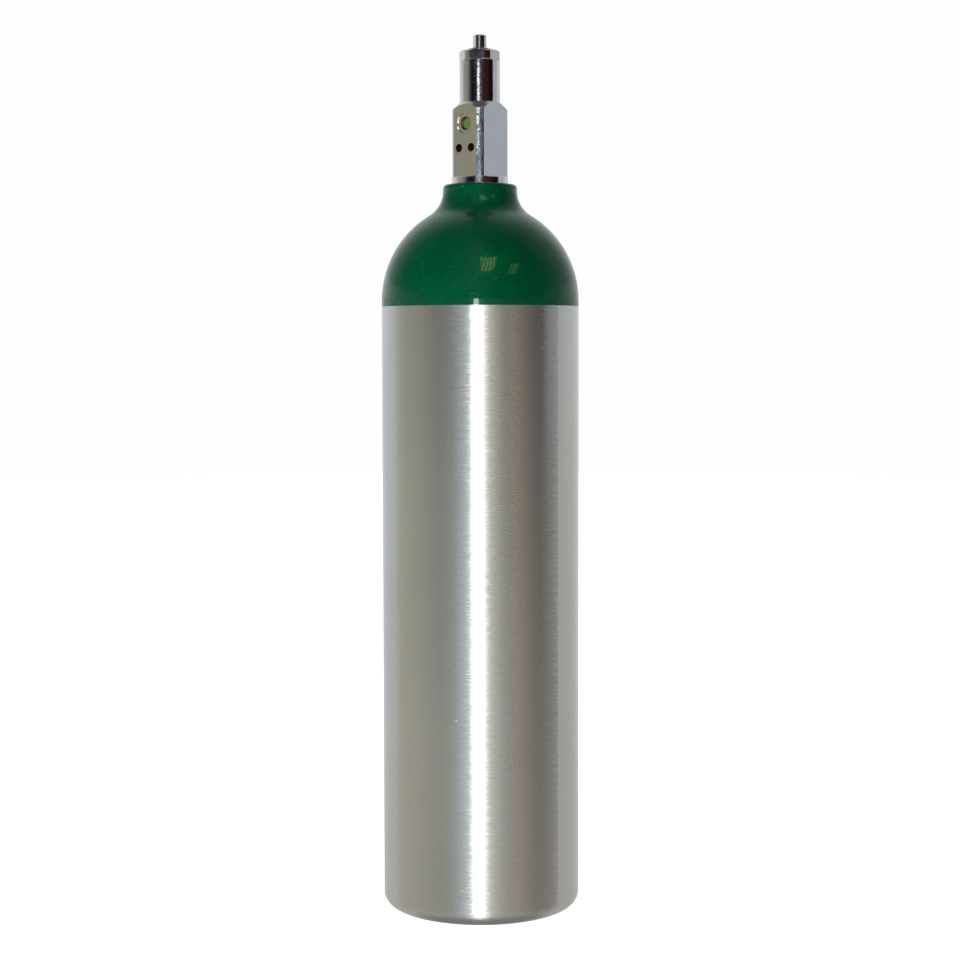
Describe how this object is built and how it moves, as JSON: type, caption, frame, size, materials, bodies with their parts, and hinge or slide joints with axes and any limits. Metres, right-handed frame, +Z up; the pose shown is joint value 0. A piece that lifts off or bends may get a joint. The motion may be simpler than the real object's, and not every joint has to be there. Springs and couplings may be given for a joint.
{
  "type": "medical oxygen cylinder",
  "caption": "Slim upright aluminium gas cylinder with a green domed shoulder and a chrome pin-index post valve, opened by turning its flatted stem with a wrench.",
  "frame": {"origin": "centre of the base, on the surface that the cylinder stands on", "axes": "+Z up along the cylinder's axis, -Y out of the valve's gas outlet, -X out of the relief device"},
  "size_m": [0.1112, 0.1112, 0.4931],
  "materials": {
    "shell_aluminium": "bare aluminium, brushed round the body, satin",
    "shoulder_green": "deep green gloss enamel",
    "valve_chrome": "bright chrome plate on a brass forging",
    "stem_chrome": "bright nickel and chrome plate, worn at the drive flats",
    "brass": "turned brass, unplated",
    "copper": "thin copper sheet",
    "seal_rubber": "black nitrile rubber",
    "white_ptfe": "white PTFE",
    "seat_nylon": "ivory nylon",
    "filter_green": "green porous plastic",
    "spring_steel": "spring steel"
  },
  "bodies": {
    "cylinder": {"cylinder_shell": "shell_aluminium", "shoulder_enamel": "shoulder_green", "neck_o_ring": "seal_rubber", "valve_body": "valve_chrome", "debris_tube": "brass", "outlet_filter": "filter_green", "relief_plug": "valve_chrome", "relief_gasket": "white_ptfe", "burst_disc": "copper", "gland_nut": "valve_chrome", "thrust_washer": "white_ptfe", "spring_washer": "spring_steel"},
    "stem": {"stem": "stem_chrome", "stem_o_rings": "seal_rubber", "stem_backup_rings": "white_ptfe"},
    "spindle": {"lower_spindle": "brass"},
    "seat": {"seat_holder": "brass", "seat_snap_ring": "spring_steel", "seat_disc": "seat_nylon"}
  },
  "joints": [
    {"name": "stem_turn", "type": "hinge", "parent": "cylinder", "child": "stem", "pos_m": [0, 0, 0.48], "axis": [0, 0, 1], "range_deg": [0, 450]},
    {"name": "spindle_rise", "type": "slide", "parent": "stem", "child": "spindle", "axis": [0, 0, 1], "range_m": [0, 0.0019]},
    {"name": "seat_rise", "type": "slide", "parent": "cylinder", "child": "seat", "axis": [0, 0, 1], "range_m": [0, 0.0019]}
  ],
  "couplings": [
    {"joint": "spindle_rise", "follows": "stem_turn", "m_per_rad": 0.00023873},
    {"joint": "seat_rise", "follows": "stem_turn", "m_per_rad": 0.00023873}
  ]
}
